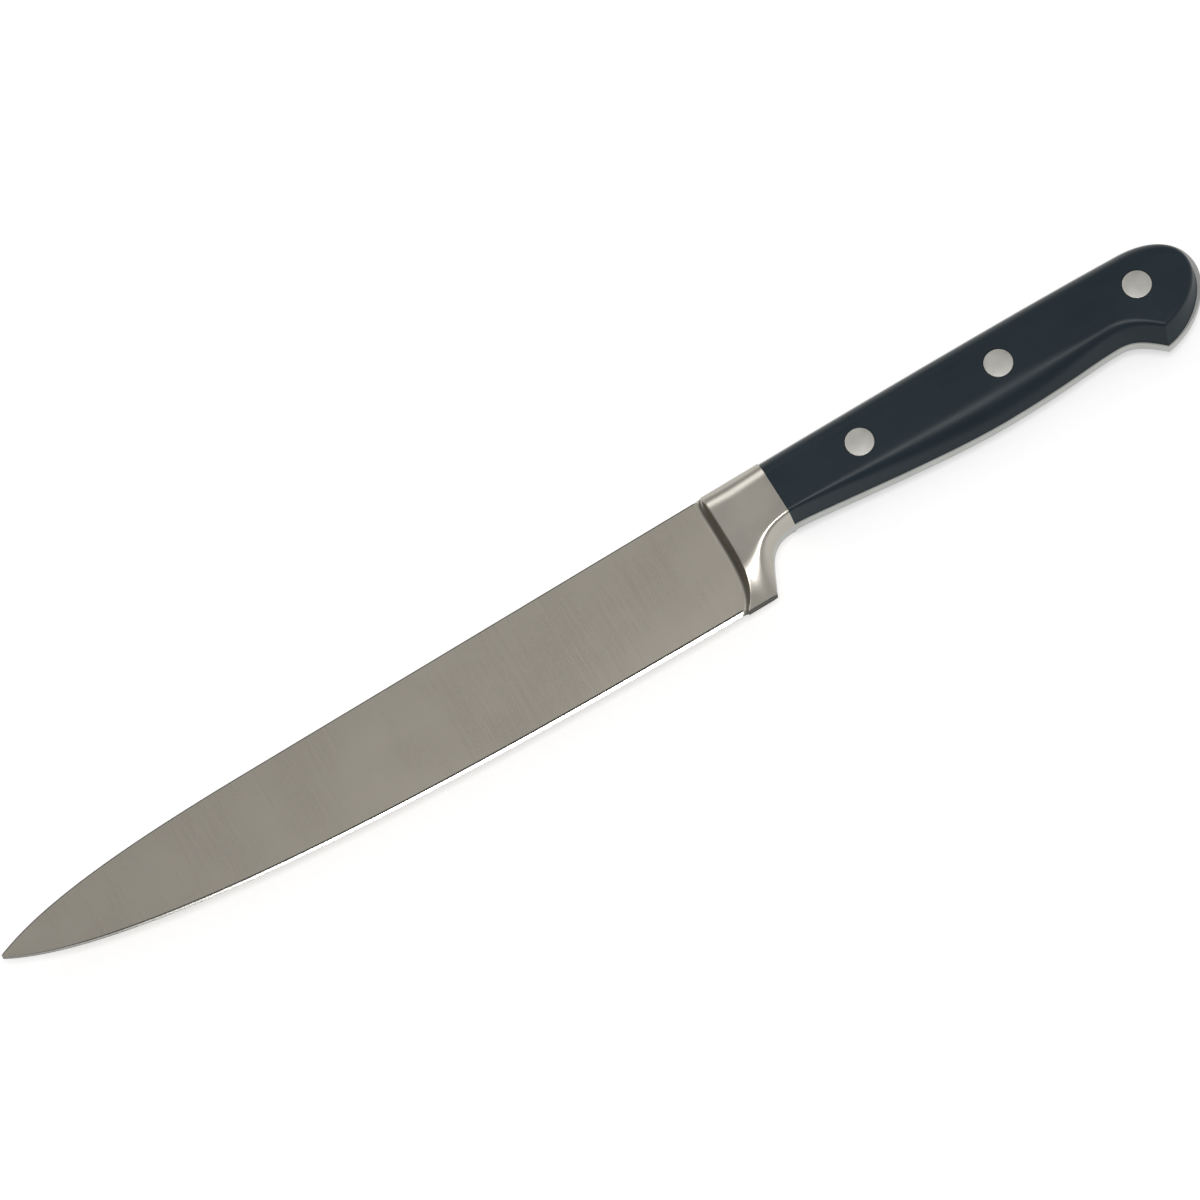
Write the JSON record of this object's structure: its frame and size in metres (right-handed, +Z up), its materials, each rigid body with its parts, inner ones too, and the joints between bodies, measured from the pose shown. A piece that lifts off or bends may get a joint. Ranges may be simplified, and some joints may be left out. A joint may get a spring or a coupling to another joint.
{
  "type": "kitchen knife",
  "caption": "Forged full-tang meat knife with a long pointed blade, a bolster down to the heel, and black riveted handle scales ending in a hooked butt.",
  "frame": {"origin": "centre of the bounding box, on the surface that the knife lies on", "axes": "+X from the point towards the butt, +Y from the cutting edge towards the spine, +Z up out of the left side of the knife"},
  "size_m": [0.3334, 0.031, 0.015],
  "materials": {
    "forged_steel": "fine satin ground stainless steel",
    "handle_plastic": "moulded black plastic with a soft satin sheen",
    "rivet_steel": "rivet heads ground flush"
  },
  "bodies": {
    "root": {"forged_blade": "forged_steel", "left_scale": "handle_plastic", "right_scale": "handle_plastic", "front_rivet_sleeve": "rivet_steel", "front_rivet_pin": "rivet_steel", "middle_rivet_sleeve": "rivet_steel", "middle_rivet_pin": "rivet_steel", "rear_rivet_sleeve": "rivet_steel", "rear_rivet_pin": "rivet_steel"}
  },
  "joints": []
}
